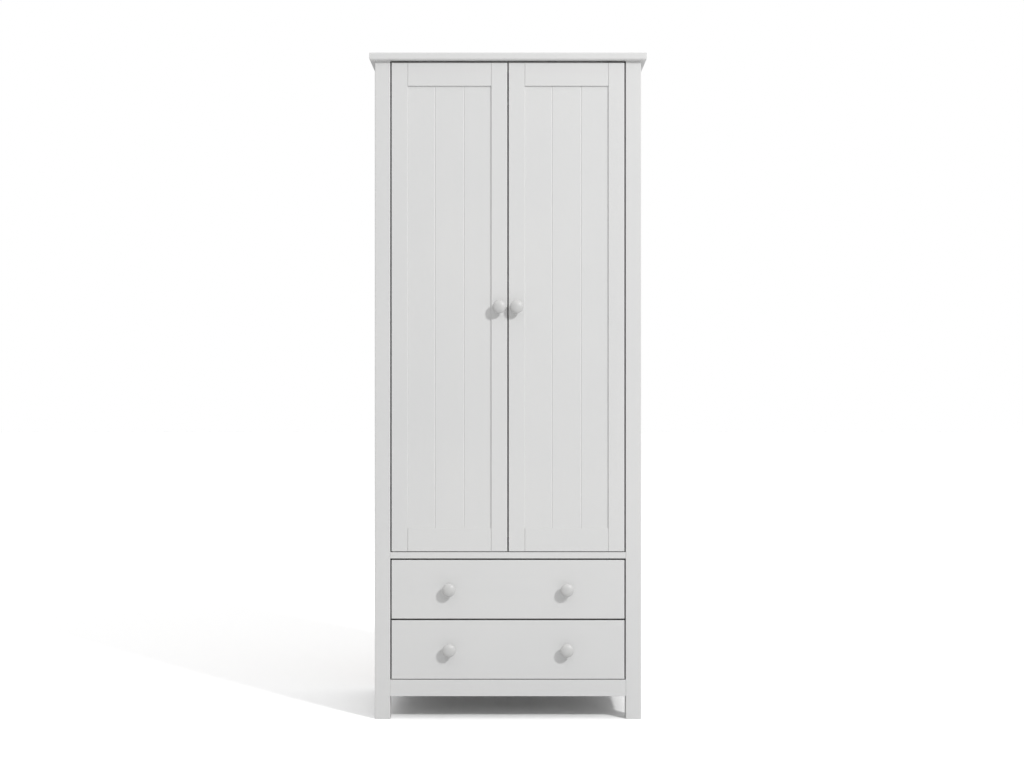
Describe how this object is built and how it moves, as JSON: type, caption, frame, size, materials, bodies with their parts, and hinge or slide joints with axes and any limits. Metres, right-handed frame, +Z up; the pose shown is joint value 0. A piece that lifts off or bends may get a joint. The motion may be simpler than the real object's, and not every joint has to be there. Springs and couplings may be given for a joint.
{
  "type": "wardrobe with doors",
  "caption": "Freestanding painted wardrobe: framed doors with grooved panels above drawers, round knobs, overhanging top and square legs.",
  "frame": {"origin": "on the floor, below the middle of the whole object's box with its knobs", "axes": "+Z up; the front with the doors faces -Y; +X is to the right of someone facing the wardrobe"},
  "size_m": [0.79, 0.54, 1.9],
  "materials": {
    "white_paint": "smooth satin white paint",
    "knob_paint": "satin white paint, turned wood",
    "drawer_board": "clear lacquer on pine board",
    "backing_board": "painted hardboard",
    "hinge_steel": "nickel-plated pressed steel",
    "rail_chrome": "polished chrome plate",
    "runner_paint": "white powder coat",
    "roller_nylon": "natural nylon",
    "screw_steel": "zinc-plated"
  },
  "bodies": {
    "carcass": {"left_front_leg": "white_paint", "left_rear_leg": "white_paint", "left_side_panel": "white_paint", "left_lower_side_rail": "white_paint", "left_upper_side_rail": "white_paint", "right_front_leg": "white_paint", "right_rear_leg": "white_paint", "right_side_panel": "white_paint", "right_lower_side_rail": "white_paint", "right_upper_side_rail": "white_paint", "front_plinth": "white_paint", "rear_plinth": "white_paint", "base_panel": "white_paint", "divider_shelf": "white_paint", "rear_top_rail": "white_paint", "door_stop_rail": "white_paint", "top_panel": "white_paint", "lower_back_panel": "backing_board", "upper_back_panel": "backing_board", "hanging_rail": "rail_chrome", "rail_sockets": "rail_chrome", "hinge_arms": "hinge_steel", "hinge_plates": "hinge_steel", "carcass_runners": "runner_paint", "fitting_screws": "screw_steel", "back_panel_screws": "screw_steel"},
    "left_door": {"left_door_hinge_stile": "white_paint", "left_door_meeting_stile": "white_paint", "left_door_top_rail": "white_paint", "left_door_bottom_rail": "white_paint", "left_door_panel": "white_paint", "left_door_knob": "knob_paint", "left_hinge_cups": "hinge_steel", "left_hinge_pins": "hinge_steel"},
    "right_door": {"right_door_hinge_stile": "white_paint", "right_door_meeting_stile": "white_paint", "right_door_top_rail": "white_paint", "right_door_bottom_rail": "white_paint", "right_door_panel": "white_paint", "right_door_knob": "knob_paint", "right_hinge_cups": "hinge_steel", "right_hinge_pins": "hinge_steel"},
    "upper_drawer": {"upper_drawer_front": "white_paint", "upper_drawer_knobs": "knob_paint", "left_upper_drawer_side": "drawer_board", "right_upper_drawer_side": "drawer_board", "upper_drawer_back": "drawer_board", "upper_drawer_bottom": "drawer_board", "upper_drawer_runners": "runner_paint"},
    "upper_front_rollers": {"upper_front_rollers": "roller_nylon"},
    "upper_rear_rollers": {"upper_rear_rollers": "roller_nylon"},
    "lower_drawer": {"lower_drawer_front": "white_paint", "lower_drawer_knobs": "knob_paint", "left_lower_drawer_side": "drawer_board", "right_lower_drawer_side": "drawer_board", "lower_drawer_back": "drawer_board", "lower_drawer_bottom": "drawer_board", "lower_drawer_runners": "runner_paint"},
    "lower_front_rollers": {"lower_front_rollers": "roller_nylon"},
    "lower_rear_rollers": {"lower_rear_rollers": "roller_nylon"}
  },
  "joints": [
    {"name": "left_door_hinge", "type": "hinge", "parent": "carcass", "child": "left_door", "pos_m": [-0.3105, -0.229, 1.17575], "axis": [0, 0, -1], "range_deg": [0, 95]},
    {"name": "right_door_hinge", "type": "hinge", "parent": "carcass", "child": "right_door", "pos_m": [0.3105, -0.229, 1.17575], "axis": [0, 0, 1], "range_deg": [0, 95]},
    {"name": "lower_drawer_slide", "type": "slide", "parent": "carcass", "child": "lower_drawer", "axis": [0, -1, 0], "range_m": [0, 0.33]},
    {"name": "upper_drawer_slide", "type": "slide", "parent": "carcass", "child": "upper_drawer", "axis": [0, -1, 0], "range_m": [0, 0.33]},
    {"name": "lower_front_roller_spin", "type": "hinge", "parent": "carcass", "child": "lower_front_rollers", "pos_m": [0, -0.204, 0.1381], "axis": [1, 0, 0], "range_deg": [0, 2560]},
    {"name": "lower_rear_roller_spin", "type": "hinge", "parent": "lower_drawer", "child": "lower_rear_rollers", "pos_m": [0, 0.216, 0.1309], "axis": [1, 0, 0], "range_deg": [0, 2560]},
    {"name": "upper_front_roller_spin", "type": "hinge", "parent": "carcass", "child": "upper_front_rollers", "pos_m": [0, -0.204, 0.3101], "axis": [1, 0, 0], "range_deg": [0, 2560]},
    {"name": "upper_rear_roller_spin", "type": "hinge", "parent": "upper_drawer", "child": "upper_rear_rollers", "pos_m": [0, 0.216, 0.3029], "axis": [1, 0, 0], "range_deg": [0, 2560]}
  ],
  "couplings": [
    {"joint": "lower_front_roller_spin", "follows": "lower_drawer_slide", "rad_per_m": 133.33},
    {"joint": "lower_rear_roller_spin", "follows": "lower_drawer_slide", "rad_per_m": 133.33},
    {"joint": "upper_front_roller_spin", "follows": "upper_drawer_slide", "rad_per_m": 133.33},
    {"joint": "upper_rear_roller_spin", "follows": "upper_drawer_slide", "rad_per_m": 133.33}
  ]
}
